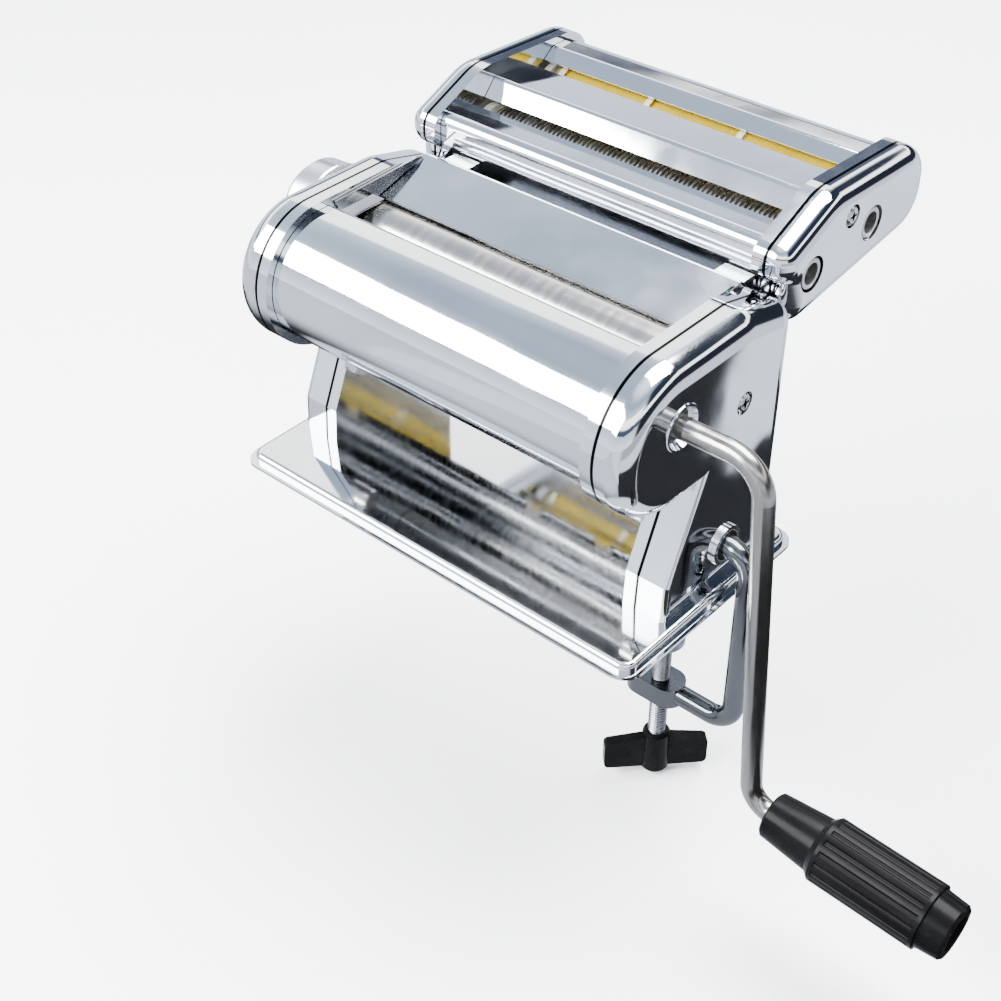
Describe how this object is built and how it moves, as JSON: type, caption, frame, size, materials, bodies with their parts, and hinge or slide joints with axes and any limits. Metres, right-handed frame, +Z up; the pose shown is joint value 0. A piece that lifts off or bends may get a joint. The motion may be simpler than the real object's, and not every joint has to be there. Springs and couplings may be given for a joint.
{
  "type": "pasta roller machine",
  "caption": "Hand-cranked pasta roller clamped to a table: smooth rollers with a thickness knob, a crank with a turning grip and a hang-on cutter unit.",
  "frame": {"origin": "middle of the base underside, in the plane of the table top", "axes": "+X along the rollers towards the crank, -Y towards the cook, +Y towards the cutter unit, +Z up"},
  "size_m": [0.3482, 0.1965, 0.2626],
  "materials": {
    "chrome": "polished",
    "steel": "satin",
    "brass": "satin",
    "bearing": "matte",
    "black": "gloss"
  },
  "bodies": {
    "frame": {"base_plate": "chrome", "cheek_right": "chrome", "cheek_left": "chrome", "side_cover_right": "chrome", "side_cover_left": "chrome", "front_cover": "chrome", "rear_cover": "chrome", "dough_guides": "chrome", "front_scraper": "steel", "rear_scraper": "steel", "tie_rods": "steel", "tie_screws": "steel", "cover_screws": "steel", "leg_studs": "steel", "roller_bushes": "bearing", "regulator_dial": "black", "crank_bush": "chrome", "cutter_rails": "steel"},
    "front_roller": {"front_roller": "steel", "front_gear": "steel", "drive_pin": "steel"},
    "carriage": {"carriage_left": "steel", "carriage_right": "steel", "carriage_bushes": "bearing", "carriage_bar": "steel"},
    "rear_roller": {"rear_roller": "steel", "rear_gear": "steel"},
    "regulator": {"regulator_shaft": "steel", "knob_screw": "steel", "knob_spring": "steel"},
    "knob": {"regulator_knob": "chrome"},
    "crank": {"crank_rod": "chrome", "grip_washer": "steel"},
    "grip": {"crank_grip": "black"},
    "clamp_collar": {"clamp_bush": "black"},
    "clamp": {"clamp_rod": "chrome"},
    "clamp_pad": {"clamp_pad": "steel"},
    "clamp_screw": {"clamp_screw": "steel", "wing_knob": "black"},
    "cutter": {"cutter_cheek_right": "chrome", "cutter_cheek_left": "chrome", "cutter_cover_right": "chrome", "cutter_cover_left": "chrome", "cutter_front_cover": "chrome", "cutter_center_cover": "chrome", "cutter_rear_cover": "chrome", "cutter_tie_rods": "steel", "cutter_cover_screws": "steel", "cutter_bushes": "bearing", "cutter_scrapers": "steel", "cutter_hooks": "steel"},
    "narrow_front": {"narrow_front_cutter": "steel", "narrow_front_gear": "steel"},
    "narrow_rear": {"narrow_rear_cutter": "steel", "narrow_rear_gear": "steel"},
    "wide_front": {"wide_front_cutter": "brass", "wide_front_gear": "steel"},
    "wide_rear": {"wide_rear_cutter": "brass", "wide_rear_gear": "steel"}
  },
  "joints": [
    {"name": "front_roller_turn", "type": "hinge", "parent": "frame", "child": "front_roller", "pos_m": [0, -0.023, 0.0955], "axis": [1, 0, 0], "continuous": true},
    {"name": "crank_pull", "type": "slide", "parent": "front_roller", "child": "crank", "axis": [1, 0, 0], "range_m": [0, 0.018]},
    {"name": "grip_spin", "type": "hinge", "parent": "crank", "child": "grip", "pos_m": [0.15268, -0.023, -0.06138], "axis": [0.9983, 0, -0.0576], "continuous": true},
    {"name": "regulator_turn", "type": "hinge", "parent": "frame", "child": "regulator", "pos_m": [-0.1, 0.0065, 0.0955], "axis": [1, 0, 0], "range_deg": [0, 180]},
    {"name": "regulator_pull", "type": "slide", "parent": "regulator", "child": "knob", "axis": [-1, 0, 0], "range_m": [0, 0.003], "stiffness_N_per_m": 300, "springref_m": -0.001, "deforming": ["knob_spring"]},
    {"name": "carriage_shift", "type": "slide", "parent": "frame", "child": "carriage", "axis": [0, 1, 0], "range_m": [0, 0.0024]},
    {"name": "rear_roller_turn", "type": "hinge", "parent": "carriage", "child": "rear_roller", "pos_m": [0, 0.0053, 0.0955], "axis": [1, 0, 0], "continuous": true},
    {"name": "clamp_swivel", "type": "hinge", "parent": "frame", "child": "clamp_collar", "pos_m": [0.098, 0.012, 0.0215], "axis": [1, 0, 0], "range_deg": [-25, 25]},
    {"name": "clamp_pull", "type": "slide", "parent": "clamp_collar", "child": "clamp", "axis": [1, 0, 0], "range_m": [0, 0.017]},
    {"name": "clamp_pad_rise", "type": "slide", "parent": "clamp", "child": "clamp_pad", "axis": [0, 0, 1], "range_m": [-0.015, 0.02]},
    {"name": "clamp_screw_turn", "type": "hinge", "parent": "clamp_pad", "child": "clamp_screw", "pos_m": [0.0735, 0.012, -0.07], "axis": [0, 0, 1], "range_deg": [-3600, 4800]},
    {"name": "cutter_lift", "type": "slide", "parent": "frame", "child": "cutter", "axis": [0, 0, 1], "range_m": [0, 0.06]},
    {"name": "narrow_front_turn", "type": "hinge", "parent": "cutter", "child": "narrow_front", "pos_m": [0, 0.06, 0.1173], "axis": [1, 0, 0], "continuous": true},
    {"name": "narrow_rear_turn", "type": "hinge", "parent": "cutter", "child": "narrow_rear", "pos_m": [0, 0.0776, 0.1173], "axis": [1, 0, 0], "continuous": true},
    {"name": "wide_front_turn", "type": "hinge", "parent": "cutter", "child": "wide_front", "pos_m": [0, 0.1, 0.1218], "axis": [1, 0, 0], "continuous": true},
    {"name": "wide_rear_turn", "type": "hinge", "parent": "cutter", "child": "wide_rear", "pos_m": [0, 0.1176, 0.1218], "axis": [1, 0, 0], "continuous": true}
  ],
  "couplings": [
    {"joint": "rear_roller_turn", "follows": "front_roller_turn", "ratio": -1},
    {"joint": "regulator_turn", "follows": "carriage_shift", "rad_per_m": 1309},
    {"joint": "clamp_screw_turn", "follows": "clamp_pad_rise", "rad_per_m": 4188.8},
    {"joint": "narrow_rear_turn", "follows": "narrow_front_turn", "ratio": -1},
    {"joint": "wide_rear_turn", "follows": "wide_front_turn", "ratio": -1}
  ]
}
